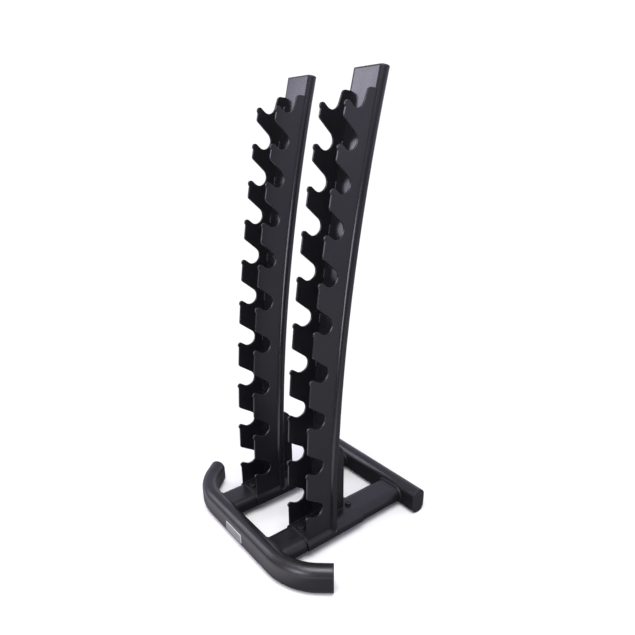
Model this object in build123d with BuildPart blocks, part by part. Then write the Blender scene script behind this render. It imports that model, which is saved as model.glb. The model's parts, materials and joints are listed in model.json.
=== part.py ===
"""Ten-pair dumbbell rack: a welded flat-oval base frame and two bolted-on cradle columns.

Units are millimetres. +Z is up, -Y is the front of the rack, +X is its right-hand side.
The origin is on the floor, at the centre of the rack's bounding box.
"""
import os
from math import acos, atan2, cos, degrees, hypot, radians, sin, tan

from build123d import *

os.makedirs("parts", exist_ok=True)

# ---- driving dimensions: base frame ----
bar_height = 85.0  # flat-oval tube of the front and rear bars, standing on edge
bar_depth = 50.0
bar_spacing = 514.0  # front bar centreline to rear bar centreline
rear_bar_length = 474.0  # over the end caps
front_bar_straight = 325.0  # straight middle of the front bar
front_bar_bend_radius = 166.0  # centreline
front_bar_bend_angle = 50.0
front_bar_end_length = 38.5  # straight stretch after each bend
rail_width = 100.0  # flat-oval tube of the rails, lying flat
rail_height = 50.0
rail_centre_z = 40.0
column_spacing = 267.0  # left column centre to right column centre
tube_wall = 3.0

# ---- driving dimensions: columns ----
upright_width = 108.0
upright_depth = 27.0
upright_front_y = -63.5  # front face of the upright at its foot
upright_bend_radius = 4715.0  # front face
bend_start_z = 100.0  # the upright is vertical below this height
upright_length = 1193.0  # along the front face from bend_start_z, over the top cap
plate_thickness = 5.0
plate_outer_offset = 46.0  # column centre to the outer face of a cradle plate
cradle_reach = 50.5  # front face of the upright to the centre of a cradle
cradle_mouth_angle = 31.0  # slope of the face above a cradle
lowest_cradle = 53.8  # along the front face from bend_start_z to the lowest cradle centre
cradle_pitches = [140.2, 139.2, 132.2, 126.7, 118.7, 111.2, 103.2, 94.7, 90.2]  # bottom to top
prong_reach = (84.0, 80.0)  # front face of the upright to a prong's front face: lowest, highest
cradle_radius = (23.8, 22.0)  # lowest, highest
lip_height = (12.0, 9.5)  # nose top above the bottom of its cradle: lowest, highest
nose_radius = 8.0
nose_lead = 3.5  # how far a prong's nose stands ahead of its front face
corner_radius = 8.0
stop_wall_length = 24.0  # straight wall behind the top cradle

# ---- driving dimensions: saddles, gussets, hardware ----
saddle_thickness = 5.0
saddle_length = 212.0
saddle_centre_y = -44.0
saddle_skirt_z = 31.0
gusset_thickness = 6.0
gusset_rear_y = 25.0
gusset_top_z = 306.0
gusset_corner_radius = 46.0
bolt_spacing = 180.0
bolt_diameter = 10.0
bolt_hole_diameter = 11.0
bolt_head_flats = 17.0
bolt_head_height = 6.4
nut_height = 8.0
washer_diameter = 21.0
washer_thickness = 2.0
cap_thickness = 4.0
cap_plug_length = 20.0
cap_clearance = 0.3
cap_edge_radius = 1.5
name_plate_width = 86.0
name_plate_height = 30.0
name_plate_thickness = 1.2
name_plate_centre_x = -10.0
name_plate_centre_z = 41.0

# ---- worked out from the above ----
front_bar_y = -bar_spacing / 2
rear_bar_y = bar_spacing / 2
bar_centre_z = bar_height / 2
rail_bottom_z = rail_centre_z - rail_height / 2
saddle_top_z = rail_centre_z + rail_height / 2 + saddle_thickness
bend_centre_y = upright_front_y + upright_bend_radius
cradle_heights = [lowest_cradle + sum(cradle_pitches[:n]) for n in range(len(cradle_pitches) + 1)]
columns = {"left": -column_spacing / 2, "right": column_spacing / 2}


def on_column(ahead, along):
    """(y, z) of a point that lies `ahead` of the upright's front face, `along` its arc."""
    angle = along / upright_bend_radius
    radius = upright_bend_radius + ahead
    return (bend_centre_y - radius * cos(angle), bend_start_z + radius * sin(angle))


def keep(part, name):
    """Label a finished piece and write it."""
    part.label = name
    export_step(part, f"parts/{name}.step")


def flat_oval(width, height):
    """A flat-oval outline, centred, with its long axis along the sketch's X."""
    return SlotOverall(width, height)


# ---- front bar: a flat-oval tube on edge, swept to the rear at both ends ----
bend_rise = front_bar_bend_radius * (1 - cos(radians(front_bar_bend_angle)))
bend_run = front_bar_bend_radius * sin(radians(front_bar_bend_angle))
end_heading = Vector(cos(radians(front_bar_bend_angle)), sin(radians(front_bar_bend_angle)), 0)
bend_start = Vector(front_bar_straight / 2, front_bar_y, bar_centre_z)
bend_end = bend_start + Vector(bend_run, bend_rise, 0)
bar_end = bend_end + end_heading * front_bar_end_length
half_angle = radians(front_bar_bend_angle / 2)
bend_middle = bend_start + Vector(
    front_bar_bend_radius * sin(half_angle), front_bar_bend_radius * (1 - cos(half_angle)), 0
)


def flip(point):
    """The same point on the rack's other side."""
    return Vector(-point.X, point.Y, point.Z)


with BuildLine() as front_bar_path:
    Line(flip(bar_end), flip(bend_end))
    ThreePointArc(flip(bend_end), flip(bend_middle), flip(bend_start))
    Line(flip(bend_start), bend_start)
    ThreePointArc(bend_start, bend_middle, bend_end)
    Line(bend_end, bar_end)

left_end_plane = Plane(flip(bar_end), x_dir=(0, 0, 1), z_dir=flip(end_heading))
right_end_plane = Plane(bar_end, x_dir=(0, 0, 1), z_dir=end_heading)
sweep_plane = Plane(flip(bar_end), x_dir=(0, 0, 1), z_dir=-flip(end_heading))

with BuildPart() as front_bar_solid:
    with BuildSketch(sweep_plane):
        flat_oval(bar_height, bar_depth)
    sweep(path=front_bar_path.line)

with BuildPart() as front_bar:
    with BuildSketch(sweep_plane):
        flat_oval(bar_height, bar_depth)
        SlotOverall(bar_height - 2 * tube_wall, bar_depth - 2 * tube_wall, mode=Mode.SUBTRACT)
    sweep(path=front_bar_path.line)
keep(front_bar.part, "front_bar")

# ---- rear bar: the same tube, straight ----
rear_tube_length = rear_bar_length - 2 * cap_thickness
rear_bar_plane = Plane((0, rear_bar_y, bar_centre_z), x_dir=(0, 0, 1), z_dir=(1, 0, 0))

with BuildPart() as rear_bar_solid:
    with BuildSketch(rear_bar_plane):
        flat_oval(bar_height, bar_depth)
    extrude(amount=rear_tube_length / 2, both=True)

with BuildPart() as rear_bar:
    with BuildSketch(rear_bar_plane):
        flat_oval(bar_height, bar_depth)
        SlotOverall(bar_height - 2 * tube_wall, bar_depth - 2 * tube_wall, mode=Mode.SUBTRACT)
    extrude(amount=rear_tube_length / 2, both=True)
keep(rear_bar.part, "rear_bar")


def tube_cap(plane, width, height, name):
    """A push-in cap: a flange over the tube's end and a plug inside it, facing plane.z_dir."""
    plug_width = width - 2 * (tube_wall + cap_clearance)
    plug_height = height - 2 * (tube_wall + cap_clearance)
    with BuildPart() as cap:
        with BuildSketch(plane):
            flat_oval(width, height)
        extrude(amount=cap_thickness)
        outer_face = cap.faces().sort_by(Axis(plane.origin, plane.z_dir))[-1]
        fillet(outer_face.edges(), cap_edge_radius)
        with BuildSketch(plane):
            flat_oval(plug_width, plug_height)
            SlotOverall(plug_width - 2 * tube_wall, plug_height - 2 * tube_wall, mode=Mode.SUBTRACT)
        extrude(amount=-cap_plug_length)
    keep(cap.part, name)


tube_cap(left_end_plane, bar_height, bar_depth, "front_bar_cap_left")
tube_cap(right_end_plane, bar_height, bar_depth, "front_bar_cap_right")
for side, outward in (("left", -1), ("right", 1)):
    rear_end = Plane(
        (outward * rear_tube_length / 2, rear_bar_y, bar_centre_z),
        x_dir=(0, 0, 1),
        z_dir=(outward, 0, 0),
    )
    tube_cap(rear_end, bar_height, bar_depth, f"rear_bar_cap_{side}")

# ---- name plate: blank, on the front bar's flat ----
name_plate_place = (name_plate_centre_x, front_bar_y - bar_depth / 2, name_plate_centre_z)
with BuildPart() as name_plate:
    with BuildSketch(Plane(name_plate_place, x_dir=(1, 0, 0), z_dir=(0, -1, 0))):
        RectangleRounded(name_plate_width, name_plate_height, 3)
    extrude(amount=name_plate_thickness)
    front_face = name_plate.faces().sort_by(Axis.Y)[0]
    chamfer(front_face.edges(), 0.4)
keep(name_plate.part, "name_plate")


class Prong:
    """The corner points and arc middles of one prong and of the cradle above it.

    Each point is (ahead of the upright, along it). Size 0 is the lowest prong and 1 the highest.
    """

    def __init__(self, height, size):
        slope = radians(cradle_mouth_angle)
        reach = prong_reach[0] + size * (prong_reach[1] - prong_reach[0])
        radius = cradle_radius[0] + size * (cradle_radius[1] - cradle_radius[0])
        lip = lip_height[0] + size * (lip_height[1] - lip_height[0])
        cradle = (cradle_reach, height)
        nose = (reach + nose_lead - nose_radius, height + lip - radius - nose_radius)

        # The lip is a line that touches the cradle circle and the nose circle.
        across = nose[0] - cradle[0]
        down = nose[1] - cradle[1]
        lip_angle = atan2(down, across) - acos((radius + nose_radius) / hypot(across, down))
        self.lip_low = circle_point(cradle, radius, lip_angle)
        self.lip_high = circle_point(nose, -nose_radius, lip_angle)

        # The front face turns out along a short chin to the nose circle.
        chin_angle = radians(-38)
        self.chin = circle_point(nose, nose_radius, chin_angle)
        self.chin_foot = (reach, self.chin[1] - (self.chin[0] - reach) / tan(-chin_angle))
        self.nose_front = circle_point(nose, nose_radius, radians(45))

        # Above the cradle a sloping face runs forward to a rounded corner.
        self.cradle_back = circle_point(cradle, radius, radians(-160))
        self.mouth_low = circle_point(cradle, radius, radians(90) + slope)
        corner_along = self.mouth_low[1] + (reach - self.mouth_low[0]) * tan(slope)
        corner_cut = corner_radius * tan((radians(90) - slope) / 2)
        corner_centre = (reach - corner_radius, corner_along + corner_cut)
        self.corner_low = circle_point((reach, corner_along), -corner_cut, slope)
        self.corner_middle = circle_point(
            corner_centre, corner_radius, (slope - radians(90)) / 2
        )
        self.corner_high = (reach, corner_along + corner_cut)

        # Above the top cradle a round-topped stop stands in place of the sloping face.
        wall_angle = radians(189)
        self.cradle_bottom = circle_point(cradle, radius, radians(-120))
        self.wall_low = circle_point(cradle, radius, wall_angle)
        self.wall_high = circle_point(self.wall_low, stop_wall_length, wall_angle - radians(90))
        self.stop_middle = (21.5, height + 26.5)
        self.stop_high = (13.0, height + 29.5)
        self.stop_end = (-upright_depth / 4, height + 32.5)


def circle_point(centre, radius, angle):
    """The point of a circle at an angle from its first axis."""
    return (centre[0] + radius * cos(angle), centre[1] + radius * sin(angle))


def cradle_outline():
    """Draw a cradle plate's closed comb outline in the Y-Z plane, from the foot upwards."""
    top_index = len(cradle_heights) - 1
    rear = -upright_depth / 4
    foot_front = (on_column(prong_reach[0], 0)[0], rail_centre_z)
    foot_rear = (on_column(rear, 0)[0], rail_centre_z)
    Line(foot_rear, foot_front)
    last = foot_front
    for index, height in enumerate(cradle_heights):
        prong = Prong(height, index / top_index)
        Line(last, on_column(*prong.chin_foot))
        Line(on_column(*prong.chin_foot), on_column(*prong.chin))
        ThreePointArc(
            on_column(*prong.chin), on_column(*prong.nose_front), on_column(*prong.lip_high)
        )
        Line(on_column(*prong.lip_high), on_column(*prong.lip_low))
        if index < top_index:
            ThreePointArc(
                on_column(*prong.lip_low),
                on_column(*prong.cradle_back),
                on_column(*prong.mouth_low),
            )
            Line(on_column(*prong.mouth_low), on_column(*prong.corner_low))
            ThreePointArc(
                on_column(*prong.corner_low),
                on_column(*prong.corner_middle),
                on_column(*prong.corner_high),
            )
            last = on_column(*prong.corner_high)
    ThreePointArc(
        on_column(*prong.lip_low), on_column(*prong.cradle_bottom), on_column(*prong.wall_low)
    )
    Line(on_column(*prong.wall_low), on_column(*prong.wall_high))
    ThreePointArc(
        on_column(*prong.wall_high), on_column(*prong.stop_middle), on_column(*prong.stop_high)
    )
    Line(on_column(*prong.stop_high), on_column(*prong.stop_end))
    ThreePointArc(
        on_column(*prong.stop_end), on_column(rear, prong.stop_end[1] / 2), on_column(rear, 0)
    )
    Line(on_column(rear, 0), foot_rear)


for side, x in columns.items():
    # ---- rail: a flat-oval tube lying flat, coped against the two bars ----
    rail_plane = Plane((x, front_bar_y, rail_centre_z), x_dir=(1, 0, 0), z_dir=(0, 1, 0))
    bolt_places = [(x, saddle_centre_y - bolt_spacing / 2), (x, saddle_centre_y + bolt_spacing / 2)]

    with BuildPart() as rail:
        with BuildSketch(rail_plane):
            flat_oval(rail_width, rail_height)
            SlotOverall(rail_width - 2 * tube_wall, rail_height - 2 * tube_wall, mode=Mode.SUBTRACT)
        extrude(amount=bar_spacing)
        add(front_bar_solid.part, mode=Mode.SUBTRACT)
        add(rear_bar_solid.part, mode=Mode.SUBTRACT)
        with Locations(*[(px, py, rail_centre_z) for px, py in bolt_places]):
            Cylinder(bolt_hole_diameter / 2, rail_height, mode=Mode.SUBTRACT)
    keep(rail.part, f"{side}_rail")

    # ---- saddle: formed over the rail, open below ----
    saddle_plane = Plane(
        (x, saddle_centre_y - saddle_length / 2, rail_centre_z), x_dir=(1, 0, 0), z_dir=(0, 1, 0)
    )
    saddle_width = rail_width + 2 * saddle_thickness
    saddle_height = rail_height + 2 * saddle_thickness

    with BuildPart() as saddle_solid:
        with BuildSketch(saddle_plane):
            flat_oval(saddle_width, saddle_height)
        extrude(amount=saddle_length)

    with BuildPart() as saddle:
        with BuildSketch(saddle_plane):
            flat_oval(saddle_width, saddle_height)
            SlotOverall(rail_width, rail_height, mode=Mode.SUBTRACT)
        extrude(amount=saddle_length)
        split(bisect_by=Plane.XY.offset(saddle_skirt_z), keep=Keep.TOP)
        with Locations(*[(px, py, saddle_top_z) for px, py in bolt_places]):
            Cylinder(bolt_hole_diameter / 2, 4 * saddle_thickness, mode=Mode.SUBTRACT)
    keep(saddle.part, f"{side}_saddle")

    # ---- upright: a flat-oval tube rolled to one long arc, coped on the saddle ----
    tube_y = upright_front_y + upright_depth / 2
    tube_top = upright_length - cap_thickness
    top_angle = tube_top / upright_bend_radius
    with BuildLine(Plane.YZ.offset(x)) as upright_path:
        Line((tube_y, rail_centre_z), (tube_y, bend_start_z))
        ThreePointArc(
            (tube_y, bend_start_z),
            on_column(-upright_depth / 2, tube_top / 2),
            on_column(-upright_depth / 2, tube_top),
        )
    foot_plane = Plane((x, tube_y, rail_centre_z), x_dir=(1, 0, 0), z_dir=(0, 0, 1))

    with BuildPart() as upright_solid:
        with BuildSketch(foot_plane):
            flat_oval(upright_width, upright_depth)
        sweep(path=upright_path.line)

    with BuildPart() as upright:
        with BuildSketch(foot_plane):
            flat_oval(upright_width, upright_depth)
            SlotOverall(
                upright_width - 2 * tube_wall, upright_depth - 2 * tube_wall, mode=Mode.SUBTRACT
            )
        sweep(path=upright_path.line)
        add(saddle_solid.part, mode=Mode.SUBTRACT)
    keep(upright.part, f"{side}_upright")

    cap_y, cap_z = on_column(-upright_depth / 2, tube_top)
    cap_plane = Plane((x, cap_y, cap_z), x_dir=(1, 0, 0), z_dir=(0, sin(top_angle), cos(top_angle)))
    tube_cap(cap_plane, upright_width, upright_depth, f"{side}_upright_cap")

    # ---- cradle plates: two combs, standing on the upright's front face and on the saddle ----
    inward = 1 if side == "left" else -1
    for place_name, direction in (("outer", -inward), ("inner", inward)):
        plate_x = x + direction * (plate_outer_offset - plate_thickness / 2)
        with BuildPart() as cradle_plate:
            with BuildSketch(Plane.YZ.offset(plate_x)):
                with BuildLine():
                    cradle_outline()
                make_face()
            extrude(amount=plate_thickness / 2, both=True)
            add(saddle_solid.part, mode=Mode.SUBTRACT)
            add(upright_solid.part, mode=Mode.SUBTRACT)
        keep(cradle_plate.part, f"{side}_{place_name}_cradle_plate")

    # ---- gusset: a flat rib between the upright's back and the saddle ----
    with BuildPart() as gusset:
        with BuildSketch(Plane.YZ.offset(x)):
            with BuildLine():
                gusset_round_z = gusset_top_z - gusset_corner_radius
                gusset_round_y = gusset_rear_y - gusset_corner_radius
                round_step = gusset_corner_radius * sin(radians(45))
                Line((tube_y, saddle_top_z), (gusset_rear_y, saddle_top_z))
                Line((gusset_rear_y, saddle_top_z), (gusset_rear_y, gusset_round_z))
                ThreePointArc(
                    (gusset_rear_y, gusset_round_z),
                    (gusset_round_y + round_step, gusset_round_z + round_step),
                    (gusset_round_y, gusset_top_z),
                )
                Line((gusset_round_y, gusset_top_z), (tube_y, gusset_top_z))
                Line((tube_y, gusset_top_z), (tube_y, saddle_top_z))
            make_face()
        extrude(amount=gusset_thickness / 2, both=True)
        add(upright_solid.part, mode=Mode.SUBTRACT)
    keep(gusset.part, f"{side}_gusset")

    # ---- bolts, washers and nuts: through the saddle and the rail, ahead of and behind the upright ----
    head_z = saddle_top_z + washer_thickness
    nut_z = rail_bottom_z - washer_thickness - nut_height
    bolt_end_z = nut_z - 1.5
    head_radius = bolt_head_flats / 2 / cos(radians(30))

    with BuildPart() as bolts:
        with BuildSketch(Plane.XY.offset(head_z)):
            with Locations(*bolt_places):
                RegularPolygon(head_radius, 6)
        extrude(amount=bolt_head_height)
        chamfer(bolts.faces().filter_by(Axis.Z).group_by(Axis.Z)[-1].edges(), 0.8)
        with BuildSketch(Plane.XY.offset(head_z)):
            with Locations(*bolt_places):
                Circle(bolt_diameter / 2)
        extrude(amount=bolt_end_z - head_z)
    keep(bolts.part, f"{side}_bolts")

    with BuildPart() as washers:
        for washer_z in (saddle_top_z, rail_bottom_z - washer_thickness):
            with BuildSketch(Plane.XY.offset(washer_z)):
                with Locations(*bolt_places):
                    Circle(washer_diameter / 2)
                    Circle(bolt_hole_diameter / 2, mode=Mode.SUBTRACT)
            extrude(amount=washer_thickness)
    keep(washers.part, f"{side}_washers")

    with BuildPart() as nuts:
        with BuildSketch(Plane.XY.offset(nut_z)):
            with Locations(*bolt_places):
                RegularPolygon(head_radius, 6)
                Circle(bolt_diameter / 2, mode=Mode.SUBTRACT)
        extrude(amount=nut_height)
    keep(nuts.part, f"{side}_nuts")

print("top of the rack:", round(on_column(0, upright_length)[1], 1), "mm")
print("lean at the top:", round(degrees(upright_length / upright_bend_radius), 1), "degrees")
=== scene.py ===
"""Dumbbell rack: looks, weld beads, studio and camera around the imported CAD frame.

Lengths are in metres in the row frame: +Z up, -Y towards the user, +X to the right.
The rack's design dimensions and its weld lines are in millimetres.
"""
import json
import math
import random

import bpy
from mathutils import Matrix, Vector


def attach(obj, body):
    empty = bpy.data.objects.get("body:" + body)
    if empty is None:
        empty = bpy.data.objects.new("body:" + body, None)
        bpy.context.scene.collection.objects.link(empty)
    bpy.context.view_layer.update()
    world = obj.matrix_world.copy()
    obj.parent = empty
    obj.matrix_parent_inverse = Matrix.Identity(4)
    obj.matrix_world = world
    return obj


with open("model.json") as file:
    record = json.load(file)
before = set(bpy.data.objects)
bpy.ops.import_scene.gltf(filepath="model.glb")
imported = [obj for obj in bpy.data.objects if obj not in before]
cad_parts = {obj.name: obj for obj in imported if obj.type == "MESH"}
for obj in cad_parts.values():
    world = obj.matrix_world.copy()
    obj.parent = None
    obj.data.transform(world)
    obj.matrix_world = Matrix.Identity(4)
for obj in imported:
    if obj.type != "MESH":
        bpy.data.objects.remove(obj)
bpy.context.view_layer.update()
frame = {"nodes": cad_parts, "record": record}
nodes = frame["nodes"]
MM = 0.001

# ---- the rack's design dimensions that the welds and the name plate follow, in millimetres ----
COLUMN_X = 133.5
FRONT_Y = -63.5  # the upright's front face at the foot
BEND_RADIUS = 4715.0
BEND_Z = 100.0
CRADLE_HEIGHTS = [53.8, 194.0, 333.2, 465.4, 592.1, 710.8, 822.0, 925.2, 1019.9, 1110.1]
UPRIGHT_WIDTH = 108.0
UPRIGHT_DEPTH = 27.0
TUBE_Y = FRONT_Y + UPRIGHT_DEPTH / 2
PLATE_INNER = 41.0
PLATE_OUTER = 46.0
PLATE_FOOT_LENGTH = 84.0
RAIL_WIDTH = 100.0
RAIL_HEIGHT = 50.0
RAIL_Z = 40.0
SADDLE_RADIUS = 30.0
SADDLE_FLAT = 25.0  # half the width of the saddle's flat top
SADDLE_TOP_Z = RAIL_Z + SADDLE_RADIUS
BAR_Y = 257.0
BAR_RADIUS = 25.0
BAR_HEIGHT = 85.0
BEND_START_X = 162.5
BAR_BEND_RADIUS = 166.0
GUSSET_HALF = 3.0
GUSSET_REAR_Y = 25.0
GUSSET_TOP_Z = 306.0
NAME_PLATE_X = -10.0
NAME_PLATE_Z = 41.0
NAME_PLATE_WIDTH = 86.0
NAME_PLATE_HEIGHT = 30.0
NAME_PLATE_BORDER = 2.6

STUDIO_WHITE = (1.05, 1.05, 1.05, 1)  # what the camera sees of the room and the far floor


def on_column(ahead, along):
    """(y, z) of a point ahead of the upright's front face and along its arc, in millimetres."""
    angle = along / BEND_RADIUS
    radius = BEND_RADIUS + ahead
    return (FRONT_Y + BEND_RADIUS - radius * math.cos(angle), BEND_Z + radius * math.sin(angle))


# ------------------------------------------------------------------ materials
class Nodes:
    """A node tree, with short helpers for adding and linking nodes."""

    def __init__(self, owner, coordinates):
        owner.use_nodes = True
        self.tree = owner.node_tree
        self.place = self.add("ShaderNodeTexCoord").outputs[coordinates]

    def add(self, kind, **settings):
        node = self.tree.nodes.new(kind)
        for setting, value in settings.items():
            setattr(node, setting, value)
        return node

    def link(self, value, socket):
        if isinstance(value, bpy.types.NodeSocket):
            self.tree.links.new(value, socket)
        else:
            socket.default_value = value

    def split(self, vector):
        node = self.add("ShaderNodeSeparateXYZ")
        self.link(vector, node.inputs[0])
        return node.outputs

    def ray(self, kind):
        return self.add("ShaderNodeLightPath").outputs[kind]

    def stretched(self, scale):
        node = self.add("ShaderNodeMapping")
        self.link(scale, node.inputs["Scale"])
        self.link(self.place, node.inputs["Vector"])
        return node.outputs["Vector"]

    def noise(self, scale, detail=4.0, roughness=0.55, vector=None):
        node = self.add("ShaderNodeTexNoise")
        self.link(scale, node.inputs["Scale"])
        self.link(detail, node.inputs["Detail"])
        self.link(roughness, node.inputs["Roughness"])
        self.link(vector or self.place, node.inputs["Vector"])
        return node.outputs["Fac"]

    def remap(self, value, low, high, to_low=0.0, to_high=1.0, kind="LINEAR"):
        node = self.add("ShaderNodeMapRange", interpolation_type=kind)
        self.link(value, node.inputs["Value"])
        self.link(low, node.inputs["From Min"])
        self.link(high, node.inputs["From Max"])
        self.link(to_low, node.inputs["To Min"])
        self.link(to_high, node.inputs["To Max"])
        return node.outputs["Result"]

    def math(self, operation, first, second=0.0):
        node = self.add("ShaderNodeMath", operation=operation)
        self.link(first, node.inputs[0])
        self.link(second, node.inputs[1])
        return node.outputs[0]

    def times(self, first, second):
        return self.math("MULTIPLY", first, second)

    def mix(self, factor, first, second):
        node = self.add("ShaderNodeMix", data_type="RGBA")
        self.link(factor, node.inputs["Factor"])
        self.link(first, node.inputs["A"])
        self.link(second, node.inputs["B"])
        return node.outputs["Result"]


class Surface(Nodes):
    """A new material's node tree, placed by the object's own coordinates."""

    def __init__(self, name):
        self.material = bpy.data.materials.new(name)
        super().__init__(self.material, "Object")
        self.shader = self.tree.nodes["Principled BSDF"]

    def paint(self, socket, value):
        """Give one of the shader's inputs its value."""
        self.link(value, self.shader.inputs[socket])

    def bump(self, height, strength, distance, normal=None):
        node = self.add("ShaderNodeBump")
        self.link(strength, node.inputs["Strength"])
        self.link(distance, node.inputs["Distance"])
        self.link(height, node.inputs["Height"])
        if normal is not None:
            self.link(normal, node.inputs["Normal"])
        return node.outputs["Normal"]

    def rounded(self, radius):
        """The surface normal with sharp edges shaded as if rounded by this radius."""
        node = self.add("ShaderNodeBevel", samples=6)
        self.link(radius, node.inputs["Radius"])
        return node.outputs["Normal"]

    def facing(self):
        """The direction that the surface faces."""
        return self.add("ShaderNodeNewGeometry").outputs["Normal"]

    def edges(self, radius, low, high):
        """A mask that is 1 on sharp edges and 0 on flats."""
        dot = self.add("ShaderNodeVectorMath", operation="DOT_PRODUCT")
        self.link(self.rounded(radius), dot.inputs[0])
        self.link(self.facing(), dot.inputs[1])
        return self.remap(self.math("SUBTRACT", 1.0, dot.outputs["Value"]), low, high)

    def upward(self, low, high):
        """A mask that is 1 where the surface faces up."""
        return self.remap(self.split(self.facing())["Z"], low, high)


DUST = 0.025  # the share of the coat that settled dust covers, and what it adds to the roughness
ROUGHNESS_SWING = 0.03


def powder_coat(name, colour, roughness, sheet=False):
    """Satin powder coat with a shallow orange peel. On sheet metal the edges are soft and painted
    lighter, partly as rubbed wear and partly as a painted highlight.
    """
    look = Surface(name)
    dark = (*[channel * 0.82 for channel in colour], 1)
    light = (*[channel * 1.2 for channel in colour], 1)
    clouds = look.times(look.noise(9.0, 5.0, 0.6), 0.7)
    speckle = look.times(look.noise(420.0), 0.3)
    base = look.mix(look.remap(look.math("ADD", clouds, speckle), 0.35, 0.65), dark, light)

    # Dust lies thinly on what faces up.
    patches = look.remap(look.noise(55.0, 6.0, 0.65), 0.4, 0.75)
    dust = look.times(look.times(look.upward(0.35, 0.95), patches), DUST)
    base = look.mix(dust, base, (0.2, 0.195, 0.185, 1))
    duller, shinier = roughness + ROUGHNESS_SWING, roughness - ROUGHNESS_SWING
    rough = look.remap(look.noise(26.0, 5.0, 0.6), 0.3, 0.7, shinier, duller)
    rough = look.math("ADD", rough, dust)

    normal = None
    if sheet:
        # Edges are lighter in patches: partly rubbed wear, partly a painted highlight for light
        # on the rounded edges.
        patches = look.remap(look.noise(160.0, 4.0, 0.6), 0.3, 0.7, 0.35, 1.0)
        lighter_edges = look.times(look.edges(0.0016, 0.05, 0.35), patches)
        base = look.mix(look.times(lighter_edges, 0.6), base, (0.1, 0.1, 0.104, 1))
        rough = look.math("SUBTRACT", rough, look.times(lighter_edges, 0.05))
        normal = look.rounded(0.0013)
    orange_peel = look.noise(330.0, 1.0, 0.4)
    look.paint("Base Color", base)
    look.paint("Roughness", rough)
    look.paint("Normal", look.bump(orange_peel, 0.006, 0.0006, normal))
    return look.material


def cap_plastic(name):
    """Injection-moulded black plastic with a spark-eroded grain."""
    look = Surface(name)
    clouds = look.remap(look.noise(30.0, 4.0, 0.6), 0.3, 0.7)
    base = look.mix(clouds, (0.008, 0.008, 0.0085, 1), (0.014, 0.014, 0.015, 1))
    patches = look.remap(look.noise(120.0, 4.0, 0.7), 0.45, 0.65)
    lighter_edges = look.times(look.edges(0.0012, 0.04, 0.3), patches)
    grain = look.noise(1900.0, 2.0, 0.6)
    look.paint("Base Color", look.mix(look.times(lighter_edges, 0.4), base, (0.12, 0.12, 0.12, 1)))
    look.paint("Roughness", look.remap(look.noise(200.0, 3.0), 0.3, 0.7, 0.46, 0.6))
    look.paint("Normal", look.bump(grain, 0.35, 0.0003, look.rounded(0.0008)))
    return look.material


def oxide_steel(name):
    """Black-oxide steel for fasteners, bright only where a spanner has rubbed it."""
    look = Surface(name)
    clouds = look.remap(look.noise(160.0, 5.0, 0.6), 0.35, 0.7)
    base = look.mix(clouds, (0.012, 0.012, 0.013, 1), (0.03, 0.03, 0.031, 1))
    grime = look.remap(look.noise(420.0, 4.0, 0.7), 0.52, 0.72)
    base = look.mix(look.times(grime, 0.5), base, (0.012, 0.011, 0.01, 1))
    patches = look.remap(look.noise(300.0, 4.0, 0.7), 0.4, 0.6)
    bright = look.times(look.edges(0.0008, 0.03, 0.25), patches)
    grain = look.noise(900.0, 3.0)
    look.paint("Base Color", look.mix(look.times(bright, 0.4), base, (0.35, 0.35, 0.35, 1)))
    look.paint("Metallic", 0.6)
    look.paint("Roughness", look.remap(look.noise(300.0, 4.0, 0.6), 0.3, 0.7, 0.3, 0.48))
    look.paint("Normal", look.bump(grain, 0.2, 0.0002, look.rounded(0.0006)))
    return look.material


def brushed_plate(name):
    """Blank brushed aluminium with the grain along the bar and a polished border."""
    look = Surface(name)
    streaks = look.noise(1.0, 6.0, 0.65, look.stretched((60.0, 900.0, 2600.0)))
    clouds = look.noise(70.0, 4.0, 0.6)
    tone = look.math("ADD", look.times(streaks, 0.75), look.times(clouds, 0.25))
    brushed = look.remap(tone, 0.35, 0.65)
    base = look.mix(brushed, (0.25, 0.25, 0.255, 1), (0.36, 0.36, 0.365, 1))

    place = look.split(look.place)
    border_line = 0.0004  # width over which brushed turns to polished
    borders = []
    for axis, middle, extent in (
        ("X", NAME_PLATE_X, NAME_PLATE_WIDTH),
        ("Z", NAME_PLATE_Z, NAME_PLATE_HEIGHT),
    ):
        offset = look.math("ABSOLUTE", look.math("SUBTRACT", place[axis], middle * MM))
        inner_half = (extent / 2 - NAME_PLATE_BORDER) * MM
        borders.append(look.remap(offset, inner_half, inner_half + border_line))
    polished = look.math("MAXIMUM", *borders)
    look.paint("Base Color", look.mix(polished, base, (0.72, 0.72, 0.73, 1)))
    look.paint("Metallic", 0.9)
    look.paint("Roughness", look.remap(streaks, 0.3, 0.7, 0.36, 0.55))
    look.paint("Normal", look.bump(streaks, 0.15, 0.0002, look.rounded(0.0005)))
    return look.material


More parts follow.
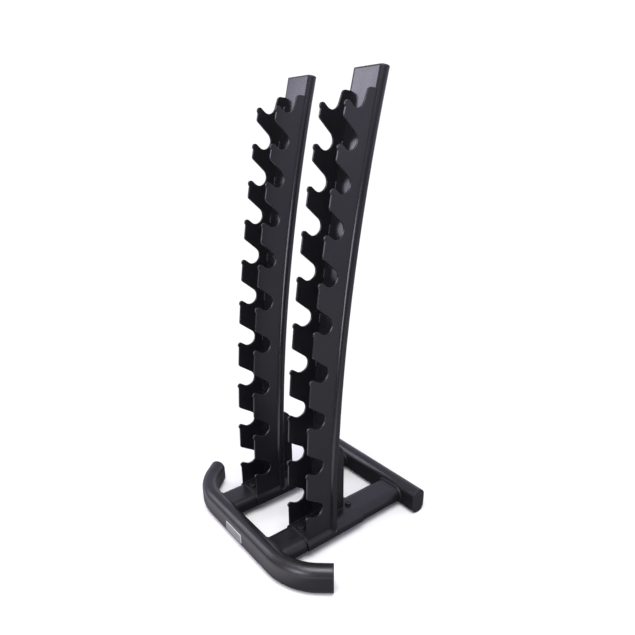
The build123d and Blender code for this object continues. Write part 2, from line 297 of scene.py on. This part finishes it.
def pale_floor(name):
    """White studio paper, which the rack's gloss shows as a greyer floor: a painted shade.

    There this painted shade gets paler with distance and is palest in a patch just ahead of the
    rack.
    """
    look = Surface(name)
    clouds = look.remap(look.noise(3.0, 4.0), 0.3, 0.7)
    paper = look.mix(clouds, (0.93, 0.93, 0.88, 1), (0.96, 0.96, 0.91, 1))
    length = look.add("ShaderNodeVectorMath", operation="LENGTH")
    look.link(look.place, length.inputs[0])
    away = length.outputs["Value"]
    place = look.split(look.place)
    beside = look.remap(look.math("ABSOLUTE", place["X"]), 0.19, 0.3, 0.05, 0.16)
    beyond = look.math("MAXIMUM", look.math("SUBTRACT", away, 0.35), 0.0)
    beyond = look.math("DIVIDE", beyond, look.math("ADD", away, 3.0))
    front = look.times(place["Y"], -1.0)
    nearby = look.remap(front, 0.5, 1.0, 1.0, 0.15)
    open_floor = look.times(look.math("ADD", beside, beyond), nearby)
    patch = look.times(look.remap(front, 0.27, 0.34), look.remap(front, 0.6, 1.0, 0.85, 0.0))
    tone = look.math("MAXIMUM", open_floor, patch)
    # Painted shade: in the rack's gloss the floor turns greyer than the paper, by the tone above.
    painted_shade_in_gloss = look.mix(tone, (0, 0, 0, 1), (1.0, 0.98, 0.97, 1))
    look.paint("Base Color", look.mix(look.ray("Is Glossy Ray"), paper, painted_shade_in_gloss))
    look.paint("Roughness", 0.7)

    # Away from the rack the camera sees plain white.
    white = look.add("ShaderNodeEmission")
    look.link(STUDIO_WHITE, white.inputs["Color"])
    blend = look.add("ShaderNodeMixShader")
    far = look.remap(away, 0.55, 1.5)
    look.link(look.times(look.ray("Is Camera Ray"), far), blend.inputs["Fac"])
    look.link(look.shader.outputs["BSDF"], blend.inputs[1])
    look.link(white.outputs["Emission"], blend.inputs[2])
    output = look.tree.nodes["Material Output"]
    look.link(blend.outputs["Shader"], output.inputs["Surface"])
    return look.material


BAR_CHARCOAL = (0.0085, 0.0080, 0.0082)
CHARCOAL = (0.0072, 0.0070, 0.0084)
coats = {
    "bar_powder_coat": powder_coat("bar_coat", BAR_CHARCOAL, 0.315),
    "rail_powder_coat": powder_coat("rail_coat", CHARCOAL, 0.32, sheet=True),
    "upright_powder_coat": powder_coat("upright_coat", CHARCOAL, 0.22),
    "plate_powder_coat": powder_coat("plate_coat", CHARCOAL, 0.32, sheet=True),
    "cap_plastic": cap_plastic("cap_plastic"),
    "fastener_steel": oxide_steel("fastener_steel"),
    "name_plate_metal": brushed_plate("name_plate_metal"),
}
for subpart in frame["record"]["subparts"]:
    cad_object = nodes[subpart["node"]]
    cad_object.data.materials.clear()
    cad_object.data.materials.append(coats[subpart["material_slot"]])

# ---------------------------------------------------------------- weld beads
RING = 10  # points round a bead
STEPS_PER_RIPPLE = 5
OVAL_POINTS = 96


def resampled(points, step, closed):
    """Points at even spacing along a polyline, and the length of that spacing."""
    line = list(points) + ([points[0]] if closed else [])
    lengths = [(b - a).length for a, b in zip(line, line[1:])]
    total = sum(lengths)
    count = max(4, round(total / step))
    result = []
    index = 0
    walked = 0.0
    for k in range(count if closed else count + 1):
        target = total * k / count
        while index < len(lengths) - 1 and walked + lengths[index] < target:
            walked += lengths[index]
            index += 1
        share = (target - walked) / lengths[index] if lengths[index] > 0 else 0.0
        result.append(line[index].lerp(line[index + 1], min(1.0, share)))
    return result, total / count


def weld(name, lines, slot, radius, pitch=2.6):
    """Rippled beads along lines given in millimetres: each a list of points and a closed flag."""
    rng = random.Random(name)
    vertices = []
    faces = []
    for points, closed in lines:
        path, step = resampled([Vector(p) for p in points], pitch / STEPS_PER_RIPPLE, closed)
        count = len(path)
        first_ring = len(vertices)
        waver = rng.uniform(0, 6.28)
        for k, point in enumerate(path):
            before = path[k - 1] if k or closed else point
            after = path[(k + 1) % count] if k < count - 1 or closed else point
            along = (after - before).normalized()
            side = along.orthogonal().normalized()
            if k:
                side = (last_side - along * last_side.dot(along)).normalized()
            last_side = side
            other = along.cross(side)
            # Each ripple swells from 0.86 to 1.06 of the radius, and the width wanders a little.
            phase = (k * step / pitch) % 1.0
            ripple = 0.86 + 0.2 * math.sqrt(max(0.0, 1 - (1 - phase) ** 2))
            wander = 0.05 * math.sin(k * step * 0.23 + waver)
            ripple *= 1 + wander + rng.uniform(-0.015, 0.015)
            # Open ends taper to 0.45 of the radius.
            taper = 1.0
            if not closed:
                end = min(k, count - 1 - k) * step
                taper = 0.45 + 0.55 * min(1.0, end / (1.6 * radius)) ** 0.5
            for j in range(RING):
                angle = 2 * math.pi * j / RING
                offset = side * math.cos(angle) + other * math.sin(angle)
                vertices.append((point + offset * radius * ripple * taper) * MM)
        for k in range(count if closed else count - 1):
            a = first_ring + k * RING
            b = first_ring + ((k + 1) % count) * RING
            for j in range(RING):
                faces.append((a + j, a + (j + 1) % RING, b + (j + 1) % RING, b + j))
        if not closed:
            faces.append(tuple(first_ring + j for j in reversed(range(RING))))
            last_ring = first_ring + (count - 1) * RING
            faces.append(tuple(last_ring + j for j in range(RING)))
    mesh = bpy.data.meshes.new(name)
    mesh.from_pydata(vertices, [], faces)
    mesh.update()
    for face in mesh.polygons:
        face.use_smooth = True
    piece = bpy.data.objects.new(name, mesh)
    bpy.context.scene.collection.objects.link(piece)
    mesh.materials.append(coats[slot])
    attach(piece, "root")


def stadium(width, depth):
    """Points round a flat oval, width along the first axis, as (first, second)."""
    radius = depth / 2
    flat = width / 2 - radius
    points = []
    for k in range(OVAL_POINTS):
        angle = 2 * math.pi * k / OVAL_POINTS
        shift = flat if math.cos(angle) >= 0 else -flat
        points.append((shift + radius * math.cos(angle), radius * math.sin(angle)))
    return points


def saddle_z(offset):
    """Height of the saddle's surface at a distance from its centre line."""
    beyond = max(0.0, abs(offset) - SADDLE_FLAT)
    return RAIL_Z + math.sqrt(max(0.0, SADDLE_RADIUS**2 - beyond**2))


def bar_inset(z):
    """How far a bar's face has curved back from its flat at a height."""
    beyond = max(0.0, BAR_RADIUS - z, z - (BAR_HEIGHT - BAR_RADIUS))
    return BAR_RADIUS - math.sqrt(max(0.0, BAR_RADIUS**2 - beyond**2))


def front_bar_back(x, z):
    """Y of the front bar's rear face."""
    beyond = max(0.0, abs(x) - BEND_START_X)
    drop = BAR_BEND_RADIUS - math.sqrt(BAR_BEND_RADIUS**2 - beyond**2)
    return -BAR_Y + BAR_RADIUS - bar_inset(z) + drop


for side, sign in (("left", -1), ("right", 1)):
    centre = sign * COLUMN_X

    # the upright's foot
    foot = []
    for across, deep in stadium(UPRIGHT_WIDTH, UPRIGHT_DEPTH):
        foot.append((centre + across, TUBE_Y + deep, saddle_z(across)))
    weld(f"{side}_foot_weld", [(foot, True)], "upright_powder_coat", radius=2.4, pitch=3.2)

    # both sides of both plates, on the saddle, stopping short of the plate's front corner
    lines = []
    for offset in (-PLATE_OUTER, -PLATE_INNER, PLATE_INNER, PLATE_OUTER):
        z = saddle_z(offset)
        start = (centre + offset, FRONT_Y - 2, z)
        end = (centre + offset, FRONT_Y - PLATE_FOOT_LENGTH + 6, z)
        lines.append(([start, end], False))
    weld(f"{side}_plate_foot_welds", lines, "plate_powder_coat", radius=2.0)

    # stitches 25 mm long in the inner corners, behind each cradle
    lines = []
    for offset in (-PLATE_INNER, PLATE_INNER):
        for height in CRADLE_HEIGHTS:
            stitch = []
            for k in range(6):
                y, z = on_column(0.4, height - 17 + 5 * k)
                stitch.append((centre + offset * 0.99, y, z))
            lines.append((stitch, False))
    weld(f"{side}_stitch_welds", lines, "plate_powder_coat", radius=2.4)

    # both sides of the gusset, on the saddle and up the back of the upright
    lines = []
    for offset in (-GUSSET_HALF, GUSSET_HALF):
        start = (centre + offset, FRONT_Y + UPRIGHT_DEPTH, SADDLE_TOP_Z)
        end = (centre + offset, GUSSET_REAR_Y, SADDLE_TOP_Z)
        lines.append(([start, end], False))
        climb = []
        for k in range(24):
            rise = (GUSSET_TOP_Z - SADDLE_TOP_Z - 2) * k / 23
            y, z = on_column(-UPRIGHT_DEPTH, SADDLE_TOP_Z - BEND_Z + rise)
            climb.append((centre + offset, y, z))
        lines.append((climb, False))
    weld(f"{side}_gusset_welds", lines, "rail_powder_coat", radius=2.0)

    # the rail's two ends, round the whole tube
    front_loop = []
    rear_loop = []
    for across, up in stadium(RAIL_WIDTH, RAIL_HEIGHT):
        x = centre + across
        z = RAIL_Z + up
        front_loop.append((x, front_bar_back(x, z), z))
        rear_loop.append((x, BAR_Y - BAR_RADIUS + bar_inset(z), z))
    lines = [(front_loop, True), (rear_loop, True)]
    weld(f"{side}_rail_welds", lines, "rail_powder_coat", radius=4.6, pitch=4.2)

# ------------------------------------------------------------------- studio
FLOOR_HALF = 14.0
corners = [(x * FLOOR_HALF, y * FLOOR_HALF, 0) for x, y in ((-1, -1), (1, -1), (1, 1), (-1, 1))]
floor_mesh = bpy.data.meshes.new("floor")
floor_mesh.from_pydata(corners, [], [(0, 1, 2, 3)])
floor = bpy.data.objects.new("floor", floor_mesh)
bpy.context.scene.collection.objects.link(floor)
floor_mesh.materials.append(pale_floor("pale_floor"))

# The room's walls, as the rack's gloss shows them: a compass direction in degrees and a tone.
# 0 is the front, 90 the right, 180 and -180 the rear, and -90 the left.
WALLS = (
    (-180, 0.95),
    (-127, 1.0),
    (-92, 0.8),
    (-70, 0.5),
    (-48, 0.5),
    (-25, 0.4),
    (0, 0.6),
    (40, 0.6),
    (56, 0.25),
    (100, 0.3),
    (118, 0.85),
    (180, 0.95),
)
CEILING = (0.6, 0.58, 0.74, 1)
world = bpy.data.worlds.new("studio")
bpy.context.scene.world = world
room = Nodes(world, "Generated")
direction = room.split(room.place)
bearing = room.math("ARCTAN2", direction["X"], room.times(direction["Y"], -1.0))
ramp = room.add("ShaderNodeValToRGB")
ramp.color_ramp.interpolation = "EASE"
for _ in WALLS[2:]:
    ramp.color_ramp.elements.new(0.5)
for element, (degrees, tone) in zip(ramp.color_ramp.elements, WALLS):
    element.position = degrees / 360 + 0.5
    element.color = (tone, tone * 0.97, tone * 1.22, 1)
turn = room.math("ADD", room.times(bearing, 0.5 / math.pi), 0.5)
room.link(turn, ramp.inputs["Fac"])
upper = room.remap(direction["Z"], 0.1, 0.45, kind="SMOOTHSTEP")
walls_and_ceiling = room.mix(upper, ramp.outputs["Color"], CEILING)
seen = room.mix(room.ray("Is Camera Ray"), walls_and_ceiling, STUDIO_WHITE)
room.link(seen, room.tree.nodes["Background"].inputs["Color"])


def softbox(name, place, target, width, height, power, colour=(1, 1, 1)):
    light = bpy.data.lights.new(name, "AREA")
    light.shape = "RECTANGLE"
    light.size = width
    light.size_y = height
    light.energy = power
    light.color = colour
    lamp = bpy.data.objects.new(name, light)
    lamp.location = place
    lamp.rotation_euler = (Vector(target) - Vector(place)).to_track_quat("-Z", "Y").to_euler()
    bpy.context.scene.collection.objects.link(lamp)


softbox("key_left_front", (-2.22, -1.74, 2.32), (0.1, 0, 1.2), 0.9, 1.2, 18, (0.95, 0.92, 1.1))
softbox("low_left_front", (-1.95, -2.05, 1.2), (0.1, 0, 0.9), 1.3, 0.9, 10.5, (0.95, 0.92, 1.08))
softbox("low_front", (0.7, -1.7, 0.75), (0.15, 0, 0.7), 0.65, 1.0, 13, (0.96, 0.94, 1.06))
softbox("overhead", (0.9, -0.65, 3.1), (0, 0, 0), 1.9, 1.9, 88)

# ------------------------------------------------------------------- camera
CAMERA_PLACE = (1.1532, -0.8721, 1.1352)
AZIMUTH = math.radians(53.17)
PITCH = math.radians(22.71)
ROLL = math.radians(-1.17)
camera_data = bpy.data.cameras.new("camera")
camera_data.sensor_width = 36.0
camera_data.lens = 30.37
camera_data.shift_x = 0.0192
camera_data.shift_y = 0.0658
camera_data.clip_end = 60
camera = bpy.data.objects.new("camera", camera_data)
bpy.context.scene.collection.objects.link(camera)
forward = Vector(
    (-math.sin(AZIMUTH) * math.cos(PITCH), math.cos(AZIMUTH) * math.cos(PITCH), -math.sin(PITCH))
)
level = Vector((math.cos(AZIMUTH), math.sin(AZIMUTH), 0))
upright = level.cross(forward)
right = level * math.cos(ROLL) + upright * math.sin(ROLL)
up = upright * math.cos(ROLL) - level * math.sin(ROLL)
orientation = Matrix((right, up, -forward)).transposed().to_4x4()
camera.matrix_world = Matrix.Translation(CAMERA_PLACE) @ orientation
bpy.context.scene.camera = camera
bpy.context.scene.view_settings.view_transform = "Standard"
